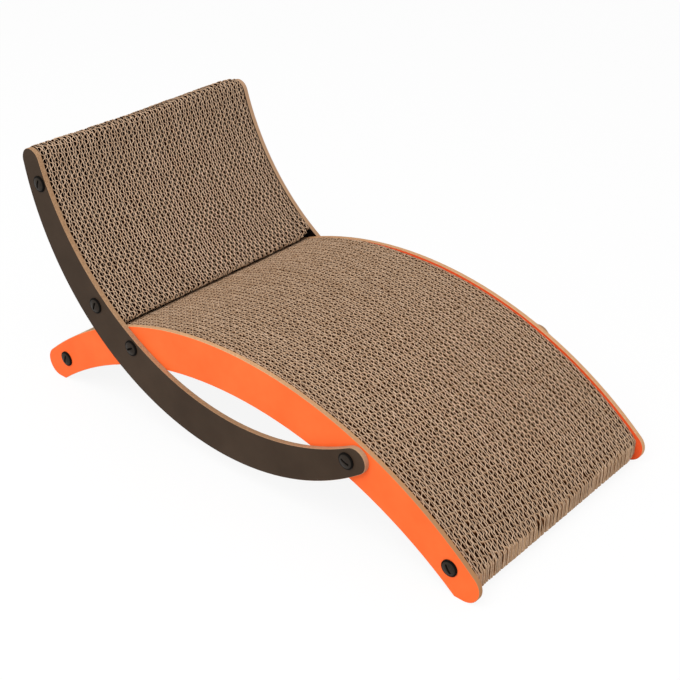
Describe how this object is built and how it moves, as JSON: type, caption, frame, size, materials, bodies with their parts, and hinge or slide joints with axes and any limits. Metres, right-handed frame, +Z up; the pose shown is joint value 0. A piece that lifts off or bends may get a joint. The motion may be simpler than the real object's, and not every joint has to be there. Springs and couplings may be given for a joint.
{
  "type": "cardboard cat scratcher lounger",
  "caption": "Arched corrugated-cardboard scratching seat with a curved cardboard back, held between laminated side rails and crescent arms by coin-slot screws.",
  "frame": {"origin": "on the floor, midway between the four feet", "axes": "+X towards the low front end, +Y towards the left side, +Z up"},
  "size_m": [0.5056, 0.2638, 0.234],
  "materials": {
    "cardboard": "open flute ends of kraft double-wall corrugated sheets",
    "rail_board": "fibreboard with matt orange laminated faces and raw tan edges",
    "arm_board": "fibreboard with matt dark brown laminated faces and raw tan edges",
    "screw_plastic": "moulded black plastic with a slight sheen",
    "insert_plastic": "moulded natural plastic"
  },
  "bodies": {
    "root": {"seat_pad": "cardboard", "back_pad": "cardboard", "right_rail": "rail_board", "right_arm": "arm_board", "right_rear_joint_screw": "screw_plastic", "right_rear_joint_insert": "insert_plastic", "right_front_joint_screw": "screw_plastic", "right_front_joint_insert": "insert_plastic", "right_rear_foot_screw": "screw_plastic", "right_rear_foot_insert": "insert_plastic", "right_front_foot_screw": "screw_plastic", "right_front_foot_insert": "insert_plastic", "right_back_top_screw": "screw_plastic", "right_back_top_insert": "insert_plastic", "right_back_low_screw": "screw_plastic", "right_back_low_insert": "insert_plastic", "left_rail": "rail_board", "left_arm": "arm_board", "left_rear_joint_screw": "screw_plastic", "left_rear_joint_insert": "insert_plastic", "left_front_joint_screw": "screw_plastic", "left_front_joint_insert": "insert_plastic", "left_rear_foot_screw": "screw_plastic", "left_rear_foot_insert": "insert_plastic", "left_front_foot_screw": "screw_plastic", "left_front_foot_insert": "insert_plastic", "left_back_top_screw": "screw_plastic", "left_back_top_insert": "insert_plastic", "left_back_low_screw": "screw_plastic", "left_back_low_insert": "insert_plastic"}
  },
  "joints": []
}
